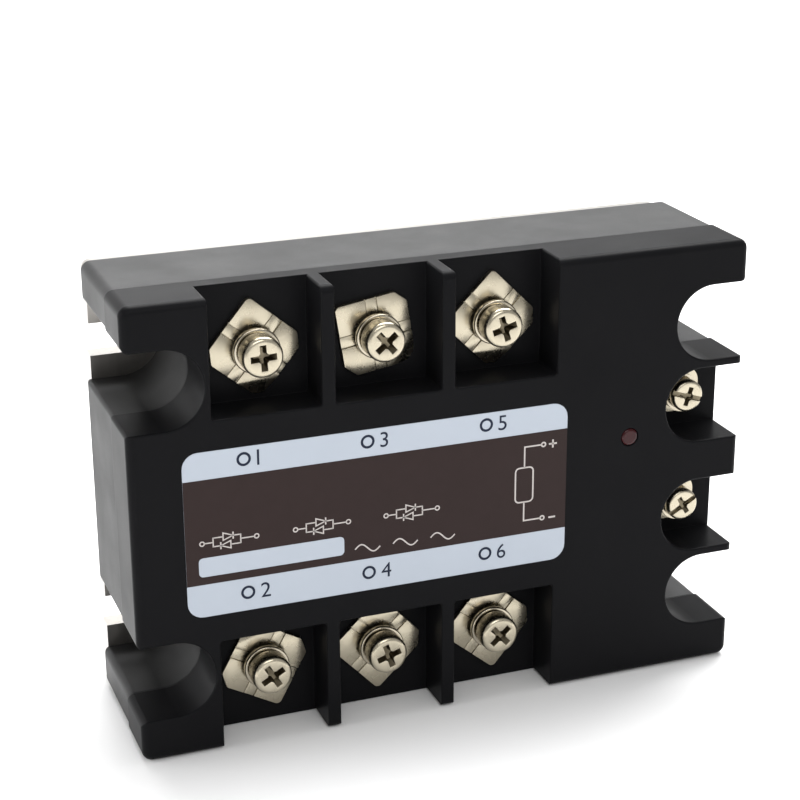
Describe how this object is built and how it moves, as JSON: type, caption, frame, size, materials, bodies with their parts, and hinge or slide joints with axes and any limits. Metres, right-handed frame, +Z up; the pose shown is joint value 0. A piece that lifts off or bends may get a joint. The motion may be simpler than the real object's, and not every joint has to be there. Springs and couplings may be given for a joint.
{
  "type": "solid state relay",
  "caption": "Three-phase solid state relay: black two-part housing on a metal heat plate, with screw terminals in open bays, a control input side, label and status lamp.",
  "frame": {"origin": "centre of the overall box in X and Y, at the lower long edge, Z = 0", "axes": "+X along the length towards the input terminals, +Y out of the base plate's mounting face, +Z up as the relay stands on its long edge; the label faces -Y"},
  "size_m": [0.104, 0.032, 0.075],
  "materials": {
    "housing_plastic": "fine matte grain",
    "cover_plastic": "satin moulded",
    "plate_metal": "satin",
    "nickel": "warm nickel plate",
    "spring_steel": "plated spring steel",
    "screw_steel": "zinc plated",
    "label_film": "satin film with a dark band",
    "lamp_red": "dark red tinted",
    "board_laminate": "solder masked",
    "black_moulding": "moulded component",
    "ceramic": "alumina",
    "silicon": "passivated chip",
    "resin": "cast resin"
  },
  "bodies": {
    "relay_body": {"base_plate": "plate_metal", "base_plate_screws": "screw_steel", "base_housing": "housing_plastic", "top_cover": "cover_plastic", "rating_label": "label_film", "status_lamp": "lamp_red", "circuit_board": "board_laminate", "potting_compound": "resin", "output_nuts": "screw_steel", "input_nuts": "screw_steel", "gate_resistors": "black_moulding", "input_transistor": "black_moulding", "busbar_l1": "nickel", "busbar_l2": "nickel", "busbar_l3": "nickel", "busbar_t1": "nickel", "busbar_t2": "nickel", "busbar_t3": "nickel", "input_plate_plus": "nickel", "input_plate_minus": "nickel", "substrate_1": "ceramic", "thyristor_pair_1": "silicon", "gate_pins_1": "nickel", "optocoupler_1": "black_moulding", "substrate_2": "ceramic", "thyristor_pair_2": "silicon", "gate_pins_2": "nickel", "optocoupler_2": "black_moulding", "substrate_3": "ceramic", "thyristor_pair_3": "silicon", "gate_pins_3": "nickel", "optocoupler_3": "black_moulding"},
    "washer_stack_l1": {"spring_washer_l1": "spring_steel"},
    "clamp_washer_l1": {"clamp_washer_l1": "nickel"},
    "terminal_screw_l1": {"terminal_screw_l1": "nickel"},
    "washer_stack_l2": {"spring_washer_l2": "spring_steel"},
    "clamp_washer_l2": {"clamp_washer_l2": "nickel"},
    "terminal_screw_l2": {"terminal_screw_l2": "nickel"},
    "washer_stack_l3": {"spring_washer_l3": "spring_steel"},
    "clamp_washer_l3": {"clamp_washer_l3": "nickel"},
    "terminal_screw_l3": {"terminal_screw_l3": "nickel"},
    "washer_stack_t1": {"spring_washer_t1": "spring_steel"},
    "clamp_washer_t1": {"clamp_washer_t1": "nickel"},
    "terminal_screw_t1": {"terminal_screw_t1": "nickel"},
    "washer_stack_t2": {"spring_washer_t2": "spring_steel"},
    "clamp_washer_t2": {"clamp_washer_t2": "nickel"},
    "terminal_screw_t2": {"terminal_screw_t2": "nickel"},
    "washer_stack_t3": {"spring_washer_t3": "spring_steel"},
    "clamp_washer_t3": {"clamp_washer_t3": "nickel"},
    "terminal_screw_t3": {"terminal_screw_t3": "nickel"},
    "input_washers_plus": {"input_spring_washer_plus": "spring_steel", "input_flat_washer_plus": "nickel"},
    "input_screw_plus": {"input_screw_plus": "nickel"},
    "input_washers_minus": {"input_spring_washer_minus": "spring_steel", "input_flat_washer_minus": "nickel"},
    "input_screw_minus": {"input_screw_minus": "nickel"}
  },
  "joints": [
    {"name": "screw_lift_l1", "type": "slide", "parent": "relay_body", "child": "washer_stack_l1", "axis": [0, -1, 0], "range_m": [0, 0.003]},
    {"name": "screw_turn_l1", "type": "hinge", "parent": "washer_stack_l1", "child": "terminal_screw_l1", "pos_m": [-0.03002, -0.01085, 0.0644], "axis": [0, -1, 0], "range_deg": [0, 1542.86]},
    {"name": "clamp_swivel_l1", "type": "hinge", "parent": "washer_stack_l1", "child": "clamp_washer_l1", "pos_m": [-0.03002, -0.01085, 0.0644], "axis": [0, -1, 0], "continuous": true},
    {"name": "screw_lift_l2", "type": "slide", "parent": "relay_body", "child": "washer_stack_l2", "axis": [0, -1, 0], "range_m": [0, 0.003]},
    {"name": "screw_turn_l2", "type": "hinge", "parent": "washer_stack_l2", "child": "terminal_screw_l2", "pos_m": [-0.01027, -0.01085, 0.0644], "axis": [0, -1, 0], "range_deg": [0, 1542.86]},
    {"name": "clamp_swivel_l2", "type": "hinge", "parent": "washer_stack_l2", "child": "clamp_washer_l2", "pos_m": [-0.01027, -0.01085, 0.0644], "axis": [0, -1, 0], "continuous": true},
    {"name": "screw_lift_l3", "type": "slide", "parent": "relay_body", "child": "washer_stack_l3", "axis": [0, -1, 0], "range_m": [0, 0.003]},
    {"name": "screw_turn_l3", "type": "hinge", "parent": "washer_stack_l3", "child": "terminal_screw_l3", "pos_m": [0.00948, -0.01085, 0.0644], "axis": [0, -1, 0], "range_deg": [0, 1542.86]},
    {"name": "clamp_swivel_l3", "type": "hinge", "parent": "washer_stack_l3", "child": "clamp_washer_l3", "pos_m": [0.00948, -0.01085, 0.0644], "axis": [0, -1, 0], "continuous": true},
    {"name": "screw_lift_t1", "type": "slide", "parent": "relay_body", "child": "washer_stack_t1", "axis": [0, -1, 0], "range_m": [0, 0.003]},
    {"name": "screw_turn_t1", "type": "hinge", "parent": "washer_stack_t1", "child": "terminal_screw_t1", "pos_m": [-0.03002, -0.01085, 0.0106], "axis": [0, -1, 0], "range_deg": [0, 1542.86]},
    {"name": "clamp_swivel_t1", "type": "hinge", "parent": "washer_stack_t1", "child": "clamp_washer_t1", "pos_m": [-0.03002, -0.01085, 0.0106], "axis": [0, -1, 0], "continuous": true},
    {"name": "screw_lift_t2", "type": "slide", "parent": "relay_body", "child": "washer_stack_t2", "axis": [0, -1, 0], "range_m": [0, 0.003]},
    {"name": "screw_turn_t2", "type": "hinge", "parent": "washer_stack_t2", "child": "terminal_screw_t2", "pos_m": [-0.01027, -0.01085, 0.0106], "axis": [0, -1, 0], "range_deg": [0, 1542.86]},
    {"name": "clamp_swivel_t2", "type": "hinge", "parent": "washer_stack_t2", "child": "clamp_washer_t2", "pos_m": [-0.01027, -0.01085, 0.0106], "axis": [0, -1, 0], "continuous": true},
    {"name": "screw_lift_t3", "type": "slide", "parent": "relay_body", "child": "washer_stack_t3", "axis": [0, -1, 0], "range_m": [0, 0.003]},
    {"name": "screw_turn_t3", "type": "hinge", "parent": "washer_stack_t3", "child": "terminal_screw_t3", "pos_m": [0.00948, -0.01085, 0.0106], "axis": [0, -1, 0], "range_deg": [0, 1542.86]},
    {"name": "clamp_swivel_t3", "type": "hinge", "parent": "washer_stack_t3", "child": "clamp_washer_t3", "pos_m": [0.00948, -0.01085, 0.0106], "axis": [0, -1, 0], "continuous": true},
    {"name": "input_lift_plus", "type": "slide", "parent": "relay_body", "child": "input_washers_plus", "axis": [0, -1, 0], "range_m": [0, 0.0015]},
    {"name": "input_turn_plus", "type": "hinge", "parent": "input_washers_plus", "child": "input_screw_plus", "pos_m": [0.0445, -0.00985, 0.04737], "axis": [0, -1, 0], "range_deg": [0, 1080]},
    {"name": "input_lift_minus", "type": "slide", "parent": "relay_body", "child": "input_washers_minus", "axis": [0, -1, 0], "range_m": [0, 0.0015]},
    {"name": "input_turn_minus", "type": "hinge", "parent": "input_washers_minus", "child": "input_screw_minus", "pos_m": [0.0445, -0.00985, 0.02763], "axis": [0, -1, 0], "range_deg": [0, 1080]}
  ],
  "couplings": [
    {"joint": "screw_turn_l1", "follows": "screw_lift_l1", "rad_per_m": 8976},
    {"joint": "screw_turn_l2", "follows": "screw_lift_l2", "rad_per_m": 8976},
    {"joint": "screw_turn_l3", "follows": "screw_lift_l3", "rad_per_m": 8976},
    {"joint": "screw_turn_t1", "follows": "screw_lift_t1", "rad_per_m": 8976},
    {"joint": "screw_turn_t2", "follows": "screw_lift_t2", "rad_per_m": 8976},
    {"joint": "screw_turn_t3", "follows": "screw_lift_t3", "rad_per_m": 8976},
    {"joint": "input_turn_plus", "follows": "input_lift_plus", "rad_per_m": 12566},
    {"joint": "input_turn_minus", "follows": "input_lift_minus", "rad_per_m": 12566}
  ]
}
